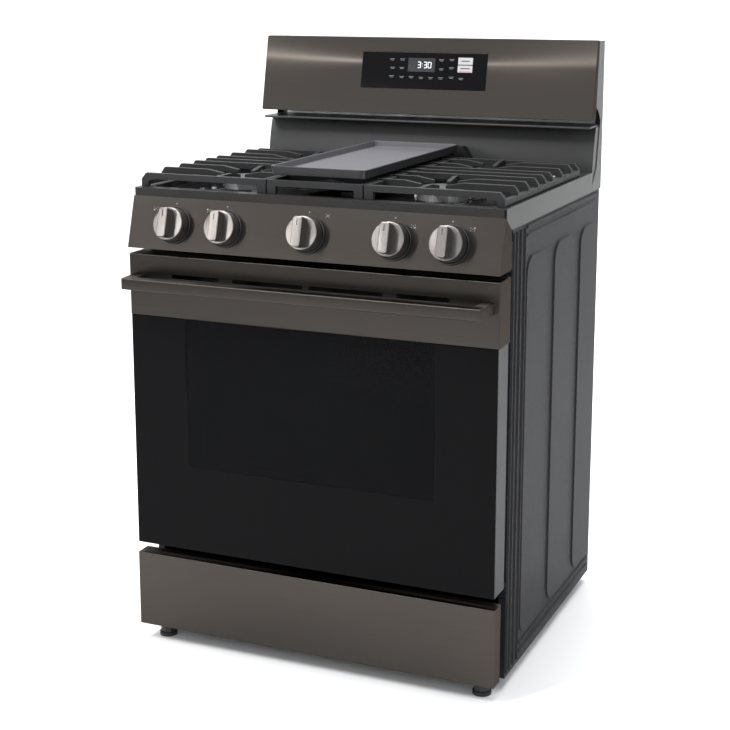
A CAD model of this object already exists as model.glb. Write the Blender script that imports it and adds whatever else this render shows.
import math

import bmesh
import bpy
import numpy as np
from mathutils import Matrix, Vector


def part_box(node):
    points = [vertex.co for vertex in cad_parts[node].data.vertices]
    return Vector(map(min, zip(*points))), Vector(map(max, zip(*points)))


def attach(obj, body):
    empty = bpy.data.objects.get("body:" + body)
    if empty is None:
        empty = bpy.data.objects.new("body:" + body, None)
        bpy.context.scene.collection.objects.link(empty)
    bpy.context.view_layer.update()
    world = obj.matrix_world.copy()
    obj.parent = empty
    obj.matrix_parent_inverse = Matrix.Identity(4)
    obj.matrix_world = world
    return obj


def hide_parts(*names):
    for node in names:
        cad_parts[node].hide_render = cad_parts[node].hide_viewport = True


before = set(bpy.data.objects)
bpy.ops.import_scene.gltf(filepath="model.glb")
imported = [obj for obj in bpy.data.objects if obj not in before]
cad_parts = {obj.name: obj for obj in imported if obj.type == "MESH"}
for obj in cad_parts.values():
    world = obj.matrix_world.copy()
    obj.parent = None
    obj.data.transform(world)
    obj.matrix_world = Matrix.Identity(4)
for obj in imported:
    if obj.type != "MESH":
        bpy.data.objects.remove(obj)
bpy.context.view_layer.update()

# ---------------------------------------------------------------- side panels
# Two deep trays of thin steel with pressed ribs and three tall raised fields, sprayed with a
# pebbled dark grey paint that hides fingermarks. They are screwed to the base and the rear plate.


class Signal:
    """A shader value that works in sums: each operator adds one Math node to its tree."""

    def __init__(self, tree, socket):
        self.tree = tree
        self.socket = socket

    def join(self, operation, other, swapped=False):
        node = self.tree.nodes.new("ShaderNodeMath")
        node.operation = operation
        pair = (other, self) if swapped else (self, other)
        for socket, item in zip(node.inputs, pair):
            if isinstance(item, Signal):
                self.tree.links.new(item.socket, socket)
            else:
                socket.default_value = item
        return Signal(self.tree, node.outputs[0])

    def __add__(self, other):
        return self.join("ADD", other)

    __radd__ = __add__

    def __sub__(self, other):
        return self.join("SUBTRACT", other)

    def __rsub__(self, other):
        return self.join("SUBTRACT", other, swapped=True)

    def __mul__(self, other):
        return self.join("MULTIPLY", other)

    __rmul__ = __mul__

    def __gt__(self, other):
        return self.join("GREATER_THAN", other)

    def __lt__(self, other):
        return self.join("LESS_THAN", other)

    def between(self, low, high):
        """1 where the value lies from low to high, else 0."""
        return (self > low) * (self < high)


class Finish:
    """One material: a shader with its even values, the place on the piece, and its other nodes."""

    def __init__(self, name, **even):
        self.material = bpy.data.materials.new(name)
        self.material.use_nodes = True
        self.tree = self.material.node_tree
        self.tree.nodes.clear()
        self.shader = self.tree.nodes.new("ShaderNodeBsdfPrincipled")
        output = self.tree.nodes.new("ShaderNodeOutputMaterial")
        self.tree.links.new(self.shader.outputs[0], output.inputs["Surface"])
        for socket, value in even.items():
            self.shader.inputs[socket.replace("_", " ")].default_value = value
        self.place = self.add("ShaderNodeTexCoord", output="Object")

    def add(self, kind, settings=None, inputs=None, output=0):
        """Adds a node, sets it, then gives its sockets their values or links."""
        node = self.tree.nodes.new(kind)
        for key, value in (settings or {}).items():
            setattr(node, key, value)
        for key, value in (inputs or {}).items():
            if isinstance(value, Signal):
                self.tree.links.new(value.socket, node.inputs[key])
            else:
                node.inputs[key].default_value = value
        return Signal(self.tree, node.outputs[output])

    def axis(self, letter):
        """One coordinate of the place on the piece, in metres."""
        return self.add("ShaderNodeSeparateXYZ", inputs={0: self.place}, output=letter)

    def grain(self, scale, detail=3.0):
        """Noise from 0 to 1 whose grains are 1 / scale metres long on each axis."""
        stretch = {"operation": "MULTIPLY"}
        spread = self.add("ShaderNodeVectorMath", stretch, {0: self.place, 1: scale})
        inputs = {"Vector": spread, "Scale": 1.0, "Detail": detail}
        return self.add("ShaderNodeTexNoise", {"noise_dimensions": "3D"}, inputs)

    def cells(self, scale, output="Distance"):
        """Cell pattern with cells 1 / scale metres wide."""
        inputs = {"Vector": self.place, "Scale": scale}
        return self.add("ShaderNodeTexVoronoi", None, inputs, output)

    def shade(self, factor, first, second):
        """The colour that goes from first to second as factor goes from 0 to 1."""
        ends = [end if isinstance(end, Signal) else (*end, 1.0) for end in (first, second)]
        inputs = {0: factor, 6: ends[0], 7: ends[1]}
        return self.add("ShaderNodeMix", {"data_type": "RGBA"}, inputs, output=2)

    def feed(self, name, signal):
        self.tree.links.new(signal.socket, self.shader.inputs[name])

    def bump(self, height, distance):
        """Tilts the surface by a height pattern; distance is its full depth in metres."""
        inputs = {"Height": height, "Distance": distance, "Strength": 1.0}
        self.feed("Normal", self.add("ShaderNodeBump", None, inputs))


def dress(node, finish):
    """Gives a carried-over node its finish."""
    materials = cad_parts[node].data.materials
    materials.clear()
    materials.append(finish.material)


MERGE_DISTANCE = 0.00001
FLAT_ANGLE = 0.8


def soften(node, finish, body, edge=0.0008, sharp=28.0, segments=2):
    """Stands a copy of a node in for it, with every edge rounded to the radius given.

    The copy's loose triangles are merged and flat ones joined, so each edge rounds as one. Edges
    that turn by more than sharp, in degrees, are rounded."""
    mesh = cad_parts[node].data.copy()
    work = bmesh.new()
    work.from_mesh(mesh)
    bmesh.ops.remove_doubles(work, verts=work.verts, dist=MERGE_DISTANCE)
    flat = math.radians(FLAT_ANGLE)
    bmesh.ops.dissolve_limit(work, angle_limit=flat, verts=work.verts, edges=work.edges)
    work.to_mesh(mesh)
    work.free()
    mesh.materials.clear()
    mesh.materials.append(finish.material)
    mesh.polygons.foreach_set("use_smooth", np.ones(len(mesh.polygons), bool))
    mesh.set_sharp_from_angle(angle=math.radians(sharp))
    piece = bpy.data.objects.new(node + ".finished", mesh)
    bpy.context.scene.collection.objects.link(piece)
    rounding = piece.modifiers.new("edges", "BEVEL")
    rounding.width = edge
    rounding.segments = segments
    rounding.limit_method = "ANGLE"
    rounding.angle_limit = math.radians(sharp)
    rounding.harden_normals = True
    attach(piece, body)
    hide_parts(node)
    return piece


side_paint = Finish("side_paint", Metallic=0.0, Specular_IOR_Level=0.035)
pebble = side_paint.cells(620.0)
side_cloud = side_paint.grain((9.0, 9.0, 9.0))
side_paint.feed("Base Color", side_paint.shade(side_cloud, (0.016, 0.016, 0.017), (0.026, 0.026, 0.028)))
side_paint.feed("Roughness", 0.30 + 0.22 * pebble)
side_paint.bump(pebble, 0.00028)
for side in ("side_panel_right", "side_panel_left"):
    soften(side, side_paint, "range_body", 0.0006, 20.0, 3)

# ---------------------------------------------------------------- base frame and feet
# A bent steel frame closes the bottom of the case. Four levelling feet of black nylon with a
# faceted collar screw into it; the front pair sits on arms that reach forward under the drawer.

zinc = Finish("zinc_sheet", Metallic=0.85)
spangle = zinc.cells(55.0, "Color")
zinc_cloud = zinc.grain((60.0, 60.0, 60.0))
zinc.feed("Base Color", zinc.shade(zinc_cloud, (0.42, 0.43, 0.44), (0.58, 0.59, 0.60)))
zinc.feed("Roughness", 0.34 + 0.16 * spangle)
zinc.bump(zinc_cloud, 0.0001)
nylon = Finish("black_nylon", Metallic=0.0, Specular_IOR_Level=0.4)
nylon_grain = nylon.grain((900.0, 900.0, 900.0))
nylon.feed("Base Color", nylon.shade(nylon_grain, (0.012, 0.012, 0.013), (0.022, 0.022, 0.023)))
nylon.feed("Roughness", 0.38 + 0.18 * nylon_grain)
nylon.bump(nylon_grain, 0.00006)
soften("base_frame", zinc, "range_body", 0.0004)
soften("levelling_feet", nylon, "range_body", 0.0009)

# ---------------------------------------------------------------- oven cavity
# The oven is a welded steel box fired with dark blue-grey enamel with fine pale specks. Its front
# edge is welded to the front frame, and a blanket of mineral wool keeps the heat in.

oven_enamel = Finish("speckled_enamel", Metallic=0.0, Roughness=0.22, Coat_Weight=0.4)
specks = oven_enamel.cells(420.0)
near_speck = specks < 0.11
oven_enamel.feed("Base Color", oven_enamel.shade(near_speck, (0.014, 0.016, 0.022), (0.10, 0.107, 0.12)))
oven_enamel.bump(oven_enamel.grain((70.0, 70.0, 70.0), 1.0), 0.00006)
for enamelled in ("oven_liner", "front_frame"):
    dress(enamelled, oven_enamel)
soften("oven_bottom_cover", oven_enamel, "range_body", 0.0004)
wool = Finish("mineral_wool", Metallic=0.0, Roughness=0.95)
wool_strands = wool.grain((40.0, 700.0, 240.0), 6.0)
wool.feed("Base Color", wool.shade(wool_strands, (0.50, 0.44, 0.22), (0.78, 0.73, 0.50)))
wool.bump(wool_strands, 0.0015)
dress("oven_insulation", wool)

# ---------------------------------------------------------------- oven burners
# The bake burner is a bent steel tube under the bottom cover and the broil burner a flat pressed
# box under the roof. Both have gone brown and blue where the flames heat them.

tube_steel = Finish("heated_steel_tube", Metallic=0.9)
heat = tube_steel.grain((14.0, 14.0, 14.0))
tube_steel.feed("Base Color", tube_steel.shade(heat, (0.30, 0.26, 0.21), (0.46, 0.45, 0.46)))
tube_steel.feed("Roughness", 0.30 + 0.25 * heat)
tube_steel.bump(tube_steel.grain((500.0, 500.0, 500.0)), 0.00005)
for burner in ("bake_burner", "broil_burner"):
    dress(burner, tube_steel)

# ---------------------------------------------------------------- oven lamp
# A round glass lens screws over a small bulb in the back wall of the oven.

lamp_glass = Finish("lamp_lens", Metallic=0.0, Roughness=0.08, Alpha=0.9, Coat_Weight=0.5)
ripple = lamp_glass.grain((160.0, 160.0, 160.0))
lamp_glass.feed("Base Color", lamp_glass.shade(ripple, (0.62, 0.62, 0.58), (0.82, 0.82, 0.78)))
lamp_glass.bump(ripple, 0.0003)
soften("oven_lamp", lamp_glass, "range_body", 0.001)

# ---------------------------------------------------------------- oven racks
# Two racks of welded round wire, nickel-chrome plated after welding. They rest on the ledges of
# the oven's side walls.

plating = Finish("chrome_plating", Metallic=1.0)
plating_haze = plating.grain((120.0, 120.0, 120.0))
plating.feed("Base Color", plating.shade(plating_haze, (0.62, 0.62, 0.63), (0.78, 0.78, 0.79)))
plating.feed("Roughness", 0.12 + 0.14 * plating_haze)
for rack in ("oven_rack_lower", "oven_rack_upper"):
    dress(rack, plating)

# ---------------------------------------------------------------- door gasket
# A hollow rope braided from dark glass fibre, clipped to the front frame all round the oven
# mouth. The closed door presses against it.

GASKET_RADIUS = 0.0058
GASKET_STEPS = 560
GASKET_AROUND = 14
BRAID_DEPTH = 0.0004
GASKET_CORNER = 0.028
ROPE_INSET = 0.0061
STRANDS_AROUND = 4
STRAND_TWIST = 1.4


def rounded_loop(half_width, half_height, corner, steps):
    """Points and turning angles of a rectangle with quarter-circle corners, evenly spaced.

    Each point is the current corner's centre plus corner x (cos, sin) of the current angle. On an
    arc only the angle changes with the distance travelled; on a straight only the centre moves."""
    centre_u = half_width - corner
    centre_v = half_height - corner
    arc = math.pi / 2 * corner
    stretches = [0, arc, 2 * centre_u, arc, 2 * centre_v, arc, 2 * centre_u, arc, 2 * centre_v]
    knots = np.cumsum(stretches)
    along = np.linspace(0, knots[-1], steps, endpoint=False)
    angle = np.interp(along, knots, np.array([0, 1, 1, 2, 2, 3, 3, 4, 4]) * math.pi / 2)
    u = np.interp(along, knots, centre_u * np.array([1, 1, -1, -1, -1, -1, 1, 1, 1]))
    v = np.interp(along, knots, centre_v * np.array([1, 1, 1, 1, -1, -1, -1, -1, 1]))
    return u + corner * np.cos(angle), v + corner * np.sin(angle), angle


def grid_mesh(name, points, finish, closed_rows=False, closed_columns=False):
    """A mesh over a grid of points, rows x columns x 3; a closed direction joins end to start."""
    rows, columns = points.shape[:2]
    index = np.arange(rows * columns).reshape(rows, columns)
    if closed_rows:
        index = np.vstack([index, index[:1]])
    if closed_columns:
        index = np.hstack([index, index[:, :1]])
    quads = np.stack([index[:-1, :-1], index[:-1, 1:], index[1:, 1:], index[1:, :-1]], -1)
    mesh = bpy.data.meshes.new(name)
    mesh.from_pydata(points.reshape(-1, 3).tolist(), [], quads.reshape(-1, 4).tolist())
    mesh.materials.append(finish.material)
    mesh.polygons.foreach_set("use_smooth", np.ones(len(mesh.polygons), bool))
    piece = bpy.data.objects.new(name, mesh)
    bpy.context.scene.collection.objects.link(piece)
    return piece


gasket_low, gasket_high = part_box("door_gasket")
loop_u, loop_v, loop_turn = rounded_loop(
    (gasket_high.x - gasket_low.x) / 2 - ROPE_INSET,
    (gasket_high.z - gasket_low.z) / 2 - ROPE_INSET,
    GASKET_CORNER,
    GASKET_STEPS,
)
# Braid: the radius swells and shrinks with two sets of strands that wind opposite ways.
around = np.linspace(0, 2 * np.pi, GASKET_AROUND, endpoint=False)
step = np.arange(GASKET_STEPS)[:, None]
winding = around * STRANDS_AROUND
strands = np.sin(winding + step * STRAND_TWIST) * np.sin(winding - step * STRAND_TWIST)
rope_radius = GASKET_RADIUS - BRAID_DEPTH + BRAID_DEPTH * strands
rope = np.stack(
    [
        loop_u[:, None] + rope_radius * np.cos(around) * np.cos(loop_turn)[:, None],
        (gasket_low.y + gasket_high.y) / 2 + rope_radius * np.sin(around),
        (gasket_low.z + gasket_high.z) / 2
        + loop_v[:, None]
        + rope_radius * np.cos(around) * np.sin(loop_turn)[:, None],
    ],
    -1,
)
glass_fibre = Finish("glass_fibre_rope", Metallic=0.0, Roughness=0.9)
fibre = glass_fibre.grain((500.0, 500.0, 500.0), 5.0)
glass_fibre.feed("Base Color", glass_fibre.shade(fibre, (0.035, 0.034, 0.033), (0.12, 0.118, 0.11)))
glass_fibre.bump(fibre, 0.0003)
gasket = grid_mesh("gasket_rope", rope, glass_fibre, closed_rows=True, closed_columns=True)
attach(gasket, "range_body")
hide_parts("door_gasket")

# ---------------------------------------------------------------- oven door hinges
# Stamped steel arms come out of the case, and channels inside the door turn on their pins.

plain_steel = Finish("plain_steel", Metallic=0.9)
mill = plain_steel.grain((60.0, 500.0, 500.0))
plain_steel.feed("Base Color", plain_steel.shade(mill, (0.36, 0.36, 0.36), (0.50, 0.50, 0.50)))
plain_steel.feed("Roughness", 0.30 + 0.20 * mill)
plain_steel.bump(mill, 0.00004)
soften("hinge_arms", plain_steel, "range_body", 0.0006)
dress("hinge_channels", plain_steel)

# ---------------------------------------------------------------- oven door, black parts
# Behind the glass the door is a deep pan painted satin black. An enamelled inner panel is
# pressed outwards to close the oven mouth, with two clear panes over the window opening.

black_paint = Finish("satin_black_paint", Metallic=0.0, Specular_IOR_Level=0.14)
paint_cloud = black_paint.grain((380.0, 380.0, 380.0))
paint_black = black_paint.shade(paint_cloud, (0.016, 0.016, 0.017), (0.026, 0.026, 0.027))
black_paint.feed("Base Color", paint_black)
black_paint.feed("Roughness", 0.34 + 0.14 * paint_cloud)
black_paint.bump(paint_cloud, 0.00005)
dress("door_frame", black_paint)
soften("door_inner_panel", oven_enamel, "door", 0.0012, 25.0, 3)
clear_pane = Finish("clear_pane", Metallic=0.0, Roughness=0.03, Specular_IOR_Level=0.2)
smear = clear_pane.grain((7.0, 7.0, 16.0))
clear_pane.feed("Base Color", clear_pane.shade(smear, (0.012, 0.013, 0.013), (0.020, 0.021, 0.021)))
clear_pane.feed("Alpha", 0.08 + 0.05 * smear)
dress("door_inner_glass", clear_pane)

# ---------------------------------------------------------------- oven door glass
# One sheet of tempered glass, printed black on its inner face except for the window, where a
# fine dot screen lets the oven show faintly. Its ground edges look grey-blue.

WINDOW_HALF = 0.259
WINDOW_LOW = 0.382
WINDOW_HIGH = 0.680
WINDOW_LINE = 0.0008
INNER_LINE = 0.036
door_print = Finish("printed_door_glass", Metallic=0.0, Roughness=0.035, Specular_IOR_Level=0.04)
across = door_print.axis("X")
upwards = door_print.axis("Z")
window = across.between(-WINDOW_HALF, WINDOW_HALF) * upwards.between(WINDOW_LOW, WINDOW_HIGH)
wide = across.between(-WINDOW_HALF - WINDOW_LINE, WINDOW_HALF + WINDOW_LINE)
tall = upwards.between(WINDOW_LOW - WINDOW_LINE, WINDOW_HIGH + WINDOW_LINE)
window_line = wide * tall - window
line_x = -WINDOW_HALF + INNER_LINE
second_line = across.between(line_x - WINDOW_LINE / 2, line_x + WINDOW_LINE / 2) * window
printed = door_print.shade(window, (0.0035, 0.0035, 0.0039), (0.0050, 0.0051, 0.0056))
lined = door_print.shade(window_line + second_line, printed, (0.0085, 0.0086, 0.0092))
door_print.feed("Base Color", lined)
door_print.feed("Alpha", 1.0 - 0.45 * window)
door_print.bump(door_print.grain((3.0, 3.0, 3.0), 1.0), 0.00025)
soften("door_glass", door_print, "door", 0.0006, 28.0, 2)

# ---------------------------------------------------------------- black stainless parts
# Knob panel, door trim, handle, drawer front and fascia are folded from stainless steel brushed
# lengthways and tinted a warm near-black under a clear lacquer.

EDGE_TINT = (0.52, 0.50, 0.48, 1.0)
black_steel = Finish("black_stainless", Metallic=1.0, Anisotropic=0.85, Specular_Tint=EDGE_TINT)
long_brush = black_steel.grain((5.0, 900.0, 900.0), 4.0)
fine_brush = black_steel.grain((28.0, 2600.0, 2600.0), 2.0)
cloud = black_steel.grain((2.2, 3.0, 5.0), 1.0)
brushing = 0.6 * long_brush + 0.4 * fine_brush
tinted = black_steel.shade(brushing, (0.036, 0.0315, 0.028), (0.072, 0.064, 0.057))
black_steel.feed("Base Color", black_steel.shade(0.35 * cloud, tinted, (0.100, 0.090, 0.081)))
black_steel.feed("Roughness", 0.36 + 0.14 * long_brush)
black_steel.bump(brushing, 0.00003)
STEEL_EDGE = 0.0009
for sheet, body in (
    ("door_trim", "door"),
    ("door_handle", "door"),
    ("drawer_front", "drawer"),
    ("manifold_panel", "range_body"),
    ("control_fascia", "range_body"),
):
    soften(sheet, black_steel, body, STEEL_EDGE, 30.0, 3)

# ---------------------------------------------------------------- storage drawer
# A painted steel box hangs behind the drawer front by its rolled edges, which run in two bent
# rails on the case.

dress("drawer_box", black_paint)
dress("drawer_rails", zinc)

# ---------------------------------------------------------------- knobs and bezels
# Each knob is a zinc casting under a drawn skin of satin stainless steel, with a tall grip across
# it. A dark plastic ring on the panel surrounds each knob.

knob_steel = Finish("knob_satin_steel", Metallic=0.95)
turned = knob_steel.grain((700.0, 700.0, 40.0), 3.0)
knob_steel.feed("Base Color", knob_steel.shade(turned, (0.150, 0.139, 0.131), (0.21, 0.196, 0.186)))
knob_steel.feed("Roughness", 0.26 + 0.12 * turned)
knob_steel.bump(turned, 0.00003)
soften("knob_bezels", nylon, "range_body", 0.0006, 30.0, 2)
for number in range(1, 6):
    knob = soften(f"knob_{number}", knob_steel, f"knob_body_{number}", 0.0009, 30.0, 3)
    dress(f"valve_stem_{number}", plain_steel)

# The pointer is a line of dark paint in the groove of each grip.
PANEL_LEAN = 0.0286
PANEL_HEIGHT = 0.0983
PANEL_TILT = math.atan2(PANEL_LEAN, PANEL_HEIGHT)
PANEL_FOOT_Y = -0.310
KNOB_ABOVE_FOOT = 0.047
KNOB_X = (-0.2815, -0.1715, 0.0, 0.1715, 0.2815)
KNOB_Y = PANEL_FOOT_Y + KNOB_ABOVE_FOOT * math.tan(PANEL_TILT)
KNOB_Z = 0.861
POINTER_LINE = (0.0, 0.017, 0.0015, 0.0115)
POINTER_HEIGHT = 0.04965


def on_panel(middle_x, u, v, height):
    """Points in front of the tilted knob panel: u to the right, v up the panel, height outwards.

    y falls with height x cos(tilt) and rises with v x sin(tilt); z is the other way round."""
    y = KNOB_Y + v * math.sin(PANEL_TILT) - height * math.cos(PANEL_TILT)
    z = KNOB_Z + v * math.cos(PANEL_TILT) + height * math.sin(PANEL_TILT)
    return np.stack([middle_x + u, y, z], -1)


def printed_mesh(name, corners, finish, body):
    """Flat faces on a body: one for each row of an array of faces x corners x 3."""
    count, sides = corners.shape[:2]
    faces = np.arange(count * sides).reshape(count, sides)
    mesh = bpy.data.meshes.new(name)
    mesh.from_pydata(corners.reshape(-1, 3).tolist(), [], faces.tolist())
    mesh.materials.append(finish.material)
    piece = bpy.data.objects.new(name, mesh)
    bpy.context.scene.collection.objects.link(piece)
    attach(piece, body)


def bars(spots):
    """The corners of upright rectangles, from rows of (middle u, middle v, width, height)."""
    table = np.array(spots, float)
    u = table[:, :1] + table[:, 2:3] / 2 * np.array([-1, 1, 1, -1])
    v = table[:, 1:2] + table[:, 3:4] / 2 * np.array([-1, -1, 1, 1])
    return u, v


dark_ink = Finish("dark_paint_line", Metallic=0.0, Roughness=0.5)
ink_cloud = dark_ink.grain((400.0, 400.0, 400.0))
dark_ink.feed("Base Color", dark_ink.shade(ink_cloud, (0.012, 0.012, 0.012), (0.030, 0.030, 0.030)))
for number, knob_x in enumerate(KNOB_X, 1):
    line_u, line_v = bars([POINTER_LINE])
    line = on_panel(knob_x, line_u, line_v, POINTER_HEIGHT)
    printed_mesh(f"pointer_{number}", line, dark_ink, f"knob_body_{number}")

# ---------------------------------------------------------------- marks on the knob panel
# Printed in pale grey: a dot above each knob for its off position, and beside it a small plan of
# the five burners with the knob's own burner drawn larger.

pale_ink = Finish("pale_print", Metallic=0.0, Roughness=0.45)
print_cloud = pale_ink.grain((600.0, 600.0, 600.0))
pale_ink.feed("Base Color", pale_ink.shade(print_cloud, (0.20, 0.195, 0.19), (0.27, 0.265, 0.26)))
PRINT_HEIGHT = 0.00012
DISC_SIDES = 16
OFF_DOT_ABOVE = 0.0405
OFF_DOT_RADIUS = 0.0014
OWN_BURNER_RADIUS = 0.0017
BURNER_RADIUS = 0.0008


def discs(spots):
    """Rims of discs, from rows of (middle u, middle v, radius).

    Each rim is the middle + radius x (cos, sin) at evenly spaced angles."""
    table = np.array(spots, float)
    angle = np.linspace(0, 2 * np.pi, DISC_SIDES, endpoint=False)
    u = table[:, :1] + table[:, 2:3] * np.cos(angle)
    v = table[:, 1:2] + table[:, 2:3] * np.sin(angle)
    return u, v


up_panel = 1 / math.cos(PANEL_TILT)
panel_discs = [(knob_x, OFF_DOT_ABOVE * up_panel, OFF_DOT_RADIUS) for knob_x in KNOB_X]
# Burner plans: (x, z, which of the five burners is the knob's own).
burner_plans = [
    (-0.326, 0.890, 0),
    (-0.210, 0.892, 1),
    (0.0375, 0.897, 4),
    (0.207, 0.889, 2),
    (0.320, 0.890, 3),
]
plan_spots = ((-0.0035, -0.0024), (-0.0035, 0.0024), (0.0035, -0.0024), (0.0035, 0.0024), (0.0, 0.0))
for plan_x, plan_z, own in burner_plans:
    for spot, (du, dv) in enumerate(plan_spots):
        radius = OWN_BURNER_RADIUS if spot == own else BURNER_RADIUS
        panel_discs.append((plan_x + du, (plan_z - KNOB_Z) * up_panel + dv, radius))
disc_u, disc_v = discs(panel_discs)
panel_marks = on_panel(0.0, disc_u, disc_v, PRINT_HEIGHT)
printed_mesh("panel_marks", panel_marks, pale_ink, "range_body")

# ---------------------------------------------------------------- gas pipe, valves and inlet
# Behind the panel a steel pipe feeds five brass valves. The regulator at its rear end is a cast
# aluminium body with a threaded inlet for the house gas.

brass = Finish("machined_brass", Metallic=1.0)
lathe = brass.grain((500.0, 500.0, 60.0))
brass.feed("Base Color", brass.shade(lathe, (0.52, 0.38, 0.15), (0.70, 0.54, 0.26)))
brass.feed("Roughness", 0.24 + 0.14 * lathe)
brass.bump(lathe, 0.00004)
soften("burner_valves", brass, "range_body", 0.0006)
dress("gas_manifold", plain_steel)
cast_alloy = Finish("cast_aluminium", Metallic=0.85)
sand = cast_alloy.grain((420.0, 420.0, 420.0), 4.0)
cast_alloy.feed("Base Color", cast_alloy.shade(sand, (0.26, 0.26, 0.26), (0.40, 0.40, 0.40)))
cast_alloy.feed("Roughness", 0.38 + 0.2 * sand)
cast_alloy.bump(sand, 0.00015)
soften("gas_inlet", cast_alloy, "range_body", 0.0006)

# ---------------------------------------------------------------- cooktop
# One deep pressing in porcelain enamel. The well is glossy black; the raised rim and the front
# edge are a satin dark grey that matches the stainless parts.

COOKTOP_RIM_Z = 0.9272
COOKTOP_FRONT_Y = -0.2807
COOKTOP_HALF = 0.3785
top_enamel = Finish("cooktop_enamel", Metallic=0.0, Specular_IOR_Level=0.12)
rim = top_enamel.axis("Z") > COOKTOP_RIM_Z
front_strip = top_enamel.axis("Y") < COOKTOP_FRONT_Y
inner = top_enamel.axis("X").between(-COOKTOP_HALF, COOKTOP_HALF)
satin = 1.0 - (1.0 - rim) * (1.0 - front_strip) * inner
orange_peel = top_enamel.grain((140.0, 140.0, 140.0))
grey_rim = top_enamel.shade(orange_peel, (0.020, 0.0195, 0.019), (0.028, 0.0275, 0.027))
top_enamel.feed("Base Color", top_enamel.shade(satin, (0.0055, 0.0055, 0.006), grey_rim))
top_enamel.feed("Roughness", 0.07 + 0.02 * orange_peel + 0.22 * satin)
top_enamel.bump(orange_peel, 0.00012)
soften("cooktop", top_enamel, "range_body", 0.0022, 26.0, 3)

# ---------------------------------------------------------------- burners
# Die-cast aluminium heads with flame ports, flat caps in matt black enamel that lift off, and a
# white ceramic igniter with a steel tip beside each head.

soften("burner_heads", cast_alloy, "range_body", 0.0006)
cap_enamel = Finish("cap_enamel", Metallic=0.0, Specular_IOR_Level=0.4)
cap_grain = cap_enamel.grain((520.0, 520.0, 520.0))
cap_enamel.feed("Base Color", cap_enamel.shade(cap_grain, (0.030, 0.030, 0.031), (0.048, 0.048, 0.049)))
cap_enamel.feed("Roughness", 0.42 + 0.16 * cap_grain)
cap_enamel.bump(cap_grain, 0.0001)
soften("burner_caps", cap_enamel, "range_body", 0.001)
ceramic = Finish("white_ceramic", Metallic=0.0, Coat_Weight=0.4)
glaze = ceramic.grain((300.0, 300.0, 300.0))
ceramic.feed("Base Color", ceramic.shade(glaze, (0.72, 0.70, 0.65), (0.84, 0.82, 0.78)))
ceramic.feed("Roughness", 0.22 + 0.12 * glaze)
dress("igniters", ceramic)

# ---------------------------------------------------------------- grates
# Three grates cast in iron and coated with matt charcoal enamel. Every edge is rounded where the
# sand mould parts, and the bars dip towards the burners.

iron = Finish("enamelled_cast_iron", Metallic=0.0, Specular_IOR_Level=0.22)
iron_sand = iron.grain((650.0, 650.0, 650.0), 4.0)
iron_cloud = iron.grain((18.0, 18.0, 18.0))
iron_blotch = 0.6 * iron_sand + 0.4 * iron_cloud
iron.feed("Base Color", iron.shade(iron_blotch, (0.010, 0.010, 0.0105), (0.026, 0.0262, 0.027)))
iron.feed("Roughness", 0.46 + 0.2 * iron_sand)
iron.bump(iron_sand, 0.00022)
for grate in ("grate_left", "grate_center", "grate_right"):
    soften(grate, iron, grate + "_body", 0.0018, 30.0, 3)

# ---------------------------------------------------------------- griddle
# A shallow cast-iron tray with a pale worn rim, left a slightly violet grey by its seasoning. It
# stands on the middle grate.

griddle_iron = Finish("seasoned_iron", Metallic=0.0, Specular_IOR_Level=0.35)
season = griddle_iron.grain((520.0, 520.0, 520.0), 4.0)
stain = griddle_iron.grain((11.0, 11.0, 11.0))
griddle_low, griddle_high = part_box("griddle")
RIM_WALL = 0.0045
TRAY_FLOOR = 0.004
tray_x = griddle_iron.axis("X").between(griddle_low.x + RIM_WALL, griddle_high.x - RIM_WALL)
tray_y = griddle_iron.axis("Y").between(griddle_low.y + RIM_WALL, griddle_high.y - RIM_WALL)
in_tray = tray_x * tray_y * (griddle_iron.axis("Z") > griddle_low.z + TRAY_FLOOR)
tray = griddle_iron.shade(0.5 * season + 0.5 * stain, (0.062, 0.061, 0.068), (0.088, 0.087, 0.096))
griddle_iron.feed("Base Color", griddle_iron.shade(in_tray, (0.020, 0.020, 0.021), tray))
griddle_iron.feed("Roughness", 0.50 + 0.18 * season)
griddle_iron.bump(season, 0.00022)
soften("griddle", griddle_iron, "griddle_body", 0.0014, 24.0, 3)

# ---------------------------------------------------------------- vent trim, riser and vent lip
# The black trim behind the griddle covers the oven's flue. Behind the cooktop the backguard
# rises as a curved sheet between two end plates, with a flat lip on top where hot air leaves.

soften("oven_vent_trim", black_paint, "range_body", 0.0012)
riser_paint = Finish("riser_paint", Metallic=0.2, Specular_IOR_Level=0.16)
riser_cloud = riser_paint.grain((420.0, 420.0, 420.0))
riser_grey = riser_paint.shade(riser_cloud, (0.034, 0.034, 0.034), (0.048, 0.048, 0.048))
riser_paint.feed("Base Color", riser_grey)
riser_paint.feed("Roughness", 0.30 + 0.12 * riser_cloud)
riser_paint.bump(riser_cloud, 0.00004)
for panel in ("backguard_riser", "vent_lip", "backguard_end_left", "backguard_end_right"):
    soften(panel, riser_paint, "range_body", 0.0008)

# ---------------------------------------------------------------- control display
# A black glass in the fascia covers the clock, the touch keys and the circuit board behind them.
# Two keys are pale pads; the others are marked only by short printed lines.

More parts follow.
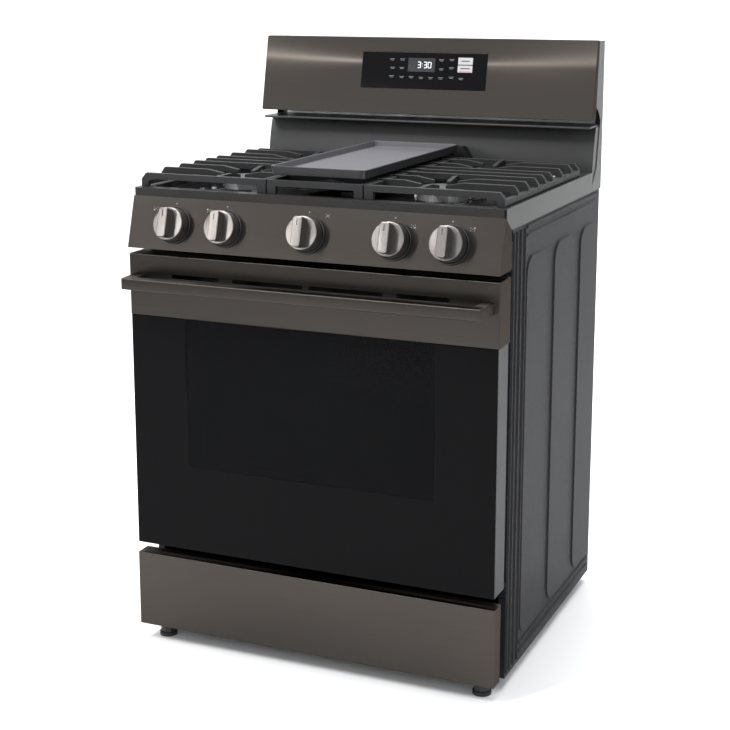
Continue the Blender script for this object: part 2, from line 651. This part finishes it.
FASCIA_LEAN = 0.0337
FASCIA_HEIGHT = 0.163
FASCIA_TILT = math.atan2(FASCIA_LEAN, FASCIA_HEIGHT)
FASCIA_Y = 0.2704
FASCIA_Z = 1.037
display_glass = Finish("display_glass", Metallic=0.0, Roughness=0.06, Specular_IOR_Level=0.12)
glass_smear = display_glass.grain((9.0, 9.0, 9.0))
glass_black = display_glass.shade(glass_smear, (0.0035, 0.0035, 0.0038), (0.005, 0.005, 0.0055))
display_glass.feed("Base Color", glass_black)
soften("control_glass", display_glass, "range_body", 0.0003)
board = Finish("circuit_board", Metallic=0.0, Roughness=0.45)
tracks = board.cells(160.0)
board.feed("Base Color", board.shade(tracks, (0.010, 0.075, 0.030), (0.030, 0.150, 0.060)))
dress("control_board", board)


def on_fascia(u, z, height):
    """Points in front of the tilted fascia at a height z above the floor.

    Going up the slope by v raises z by v x cos(tilt) and moves back by v x sin(tilt)."""
    v = (z - FASCIA_Z) / math.cos(FASCIA_TILT)
    y = FASCIA_Y + v * math.sin(FASCIA_TILT) - height * math.cos(FASCIA_TILT)
    return np.stack([u, y, z + height * math.sin(FASCIA_TILT)], -1)


GLASS_FACE = 0.00046
SECOND_COAT = 0.00006
CLOCK_X = -0.005
CLOCK_Z = 1.1425
lcd = Finish("lcd_window", Metallic=0.0, Roughness=0.12)
lcd_cloud = lcd.grain((80.0, 80.0, 80.0))
lcd.feed("Base Color", lcd.shade(lcd_cloud, (0.018, 0.0185, 0.020), (0.024, 0.0245, 0.026)))
lcd_u, lcd_z = bars([(CLOCK_X, CLOCK_Z, 0.062, 0.029)])
lcd_window = on_fascia(lcd_u, lcd_z, GLASS_FACE)
printed_mesh("lcd_window", lcd_window, lcd, "range_body")

# Clock digits: each lit segment is a bar; a digit is 8 mm wide and 13 mm tall.
BAR_LONG = 0.0058
BAR_TALL = 0.0053
BAR_THICK = 0.0011
COLON_DOT = 0.0012
COLON_GAP = 0.0023
lit = Finish("lit_digits", Metallic=0.0, Roughness=0.5, Emission_Strength=0.5)
lit_cloud = lit.grain((900.0, 900.0, 900.0))
glow = lit.shade(lit_cloud, (0.80, 0.84, 0.86), (0.92, 0.95, 0.97))
lit.feed("Base Color", glow)
lit.feed("Emission Color", glow)
SEGMENTS = {
    "top": (0.0, 0.0060, BAR_LONG, BAR_THICK),
    "middle": (0.0, 0.0, BAR_LONG, BAR_THICK),
    "bottom": (0.0, -0.0060, BAR_LONG, BAR_THICK),
    "right_high": (0.0034, 0.0030, BAR_THICK, BAR_TALL),
    "right_low": (0.0034, -0.0030, BAR_THICK, BAR_TALL),
    "left_high": (-0.0034, 0.0030, BAR_THICK, BAR_TALL),
    "left_low": (-0.0034, -0.0030, BAR_THICK, BAR_TALL),
}
THREE = ("top", "middle", "bottom", "right_high", "right_low")
NOUGHT = ("top", "bottom", "right_high", "right_low", "left_high", "left_low")
segments = [(-0.0035, CLOCK_Z + side * COLON_GAP, COLON_DOT, COLON_DOT) for side in (1, -1)]
for digit_x, shape in ((-0.0105, THREE), (0.0035, THREE), (0.0135, NOUGHT)):
    for part in shape:
        du, dz, width, height = SEGMENTS[part]
        segments.append((digit_x + du, CLOCK_Z + dz, width, height))
digit_u, digit_z = bars(segments)
digits = on_fascia(digit_u, digit_z, GLASS_FACE + SECOND_COAT)
printed_mesh("clock_digits", digits, lit, "range_body")

# Key marks: two short lines for each key, and two pale keys on the right with a dark line each.
key_places = [
    (-0.074, 1.153), (-0.050, 1.153), (-0.072, 1.135), (-0.050, 1.135), (-0.073, 1.117),
    (-0.049, 1.116), (-0.027, 1.116), (-0.004, 1.115), (0.018, 1.115), (0.041, 1.115),
    (0.065, 1.117), (0.087, 1.115), (0.040, 1.153), (0.064, 1.154), (0.041, 1.134),
    (0.064, 1.137),
]
KEY_LINE_GAP = 0.0013
KEY_LINE_THICK = 0.0007
UPPER_LINE = 0.0110
LOWER_LINE = 0.0080
key_lines = []
for key_x, key_z in key_places:
    key_lines.append((key_x, key_z + KEY_LINE_GAP, UPPER_LINE, KEY_LINE_THICK))
    key_lines.append((key_x, key_z - KEY_LINE_GAP, LOWER_LINE, KEY_LINE_THICK))
key_u, key_z = bars(key_lines)
key_marks = on_fascia(key_u, key_z, GLASS_FACE)
printed_mesh("key_marks", key_marks, pale_ink, "range_body")
key_grey = Finish("pale_key", Metallic=0.0, Roughness=0.4)
key_cloud = key_grey.grain((300.0, 300.0, 300.0))
key_grey.feed("Base Color", key_grey.shade(key_cloud, (0.34, 0.34, 0.35), (0.42, 0.42, 0.43)))
PAD_X = 0.0948
PAD_SIZE = (0.033, 0.0145)
pad_u, pad_z = bars([(PAD_X, 1.1522, *PAD_SIZE), (PAD_X, 1.1358, *PAD_SIZE)])
key_pads = on_fascia(pad_u, pad_z, GLASS_FACE)
printed_mesh("key_pads", key_pads, key_grey, "range_body")
word_u, word_z = bars([(PAD_X, 1.1522, 0.019, 0.0022), (PAD_X, 1.1366, 0.021, 0.0022)])
key_words = on_fascia(word_u, word_z, GLASS_FACE + SECOND_COAT)
printed_mesh("key_words", key_words, dark_ink, "range_body")
red_ink = Finish("red_print", Metallic=0.0, Roughness=0.45)
red_cloud = red_ink.grain((600.0, 600.0, 600.0))
red_ink.feed("Base Color", red_ink.shade(red_cloud, (0.50, 0.03, 0.02), (0.60, 0.05, 0.03)))
red_u, red_z = bars([(PAD_X, 1.1302, 0.030, 0.0013)])
red_line = on_fascia(red_u, red_z, GLASS_FACE + SECOND_COAT)
printed_mesh("key_red_line", red_line, red_ink, "range_body")

# ---------------------------------------------------------------- back of the range
# Plain zinc-coated sheets close the back, with a sunk field that has louvres and the grommet for
# the mains lead. Hexagon-headed screws hold them.

for rear in ("rear_panel", "backguard_rear_cover"):
    soften(rear, zinc, "range_body", 0.0005)
soften("power_cord_gland", nylon, "range_body", 0.0006)
soften("rear_screws", plain_steel, "range_body", 0.0003)

# ---------------------------------------------------------------- floor, light and camera
# A pale floor that curves up into a backdrop, five soft lights, a pale room, and the camera.

SWEEP_RADIUS = 1.6
SWEEP_BACK = 3.2
SWEEP_TOP = 7.0
SWEEP_STEPS = 24
STAGE_HALF = 9.0
FLOOR_DROP = 0.0002
across_stage = np.array([-STAGE_HALF, STAGE_HALF])
bend_angle = np.linspace(0, math.pi / 2, SWEEP_STEPS)
bend_y = SWEEP_BACK + SWEEP_RADIUS * np.sin(bend_angle)
bend_z = SWEEP_RADIUS * (1 - np.cos(bend_angle))
profile_y = np.concatenate([[-STAGE_HALF], bend_y, [SWEEP_BACK + SWEEP_RADIUS]])
profile_z = np.concatenate([[0.0], bend_z, [SWEEP_TOP]]) - FLOOR_DROP
sweep_points = np.stack(
    [
        np.repeat(across_stage[None, :], len(profile_y), 0),
        np.repeat(profile_y[:, None], 2, 1),
        np.repeat(profile_z[:, None], 2, 1),
    ],
    -1,
)
paper = Finish("pale_paper", Metallic=0.0, Roughness=0.85, Specular_IOR_Level=0.1)
paper_cloud = paper.grain((1.5, 1.5, 1.5))
paper.feed("Base Color", paper.shade(paper_cloud, (0.90, 0.90, 0.90), (0.92, 0.92, 0.92)))
floor = grid_mesh("floor", sweep_points[:, ::-1], paper)

world = bpy.data.worlds.new("soft_room")
bpy.context.scene.world = world
world.use_nodes = True
room = world.node_tree.nodes["Background"]
room.inputs["Color"].default_value = (0.93, 0.96, 1.0, 1.0)
room.inputs["Strength"].default_value = 0.55


def soft_light(name, place, target, width, height, power):
    """A rectangle of light at place, facing target."""
    data = bpy.data.lights.new(name, "AREA")
    data.shape = "RECTANGLE"
    data.size = width
    data.size_y = height
    data.energy = power
    lamp = bpy.data.objects.new(name, data)
    lamp.location = place
    aim = np.array(target, float) - np.array(place, float)
    yaw = math.atan2(aim[1], aim[0]) - math.pi / 2
    pitch = math.atan2(aim[2], math.hypot(aim[0], aim[1])) + math.pi / 2
    lamp.rotation_euler = (pitch, 0.0, yaw)
    bpy.context.scene.collection.objects.link(lamp)


soft_light("key_light", (-1.5, -2.7, 4.0), (0.0, 0.0, 0.6), 0.7, 1.8, 190.0)
soft_light("strip_light", (-1.55, -3.0, 1.7), (-0.1, -0.3, 0.86), 0.35, 0.9, 19.0)
soft_light("side_light", (3.4, -1.9, 1.5), (0.3, 0.0, 0.6), 0.6, 2.4, 26.0)
soft_light("top_light", (0.0, 0.6, 3.8), (0.0, 0.2, 0.0), 3.4, 2.4, 190.0)
soft_light("backdrop_light", (0.0, 2.3, 4.2), (-0.4, 4.8, 1.5), 5.0, 1.0, 120.0)

# The camera's azimuth is measured from straight ahead, its height angle down from level.
CAMERA_PLACE = (1.20157, -2.80902, 1.32011)
CAMERA_AZIMUTH = 23.361
CAMERA_HEIGHT_ANGLE = 11.511
FOCAL_SHARE = 2.0928
SENSOR = 36.0
VERTICAL_SHIFT = -0.1
camera_data = bpy.data.cameras.new("camera")
camera_data.sensor_width = SENSOR
camera_data.lens = FOCAL_SHARE * SENSOR
camera_data.shift_y = VERTICAL_SHIFT
camera_data.clip_end = 60.0
camera = bpy.data.objects.new("camera", camera_data)
camera.location = CAMERA_PLACE
camera.rotation_euler = (math.radians(90 - CAMERA_HEIGHT_ANGLE), 0.0, math.radians(CAMERA_AZIMUTH))
bpy.context.scene.collection.objects.link(camera)
bpy.context.scene.camera = camera
bpy.context.scene.view_settings.view_transform = "Standard"
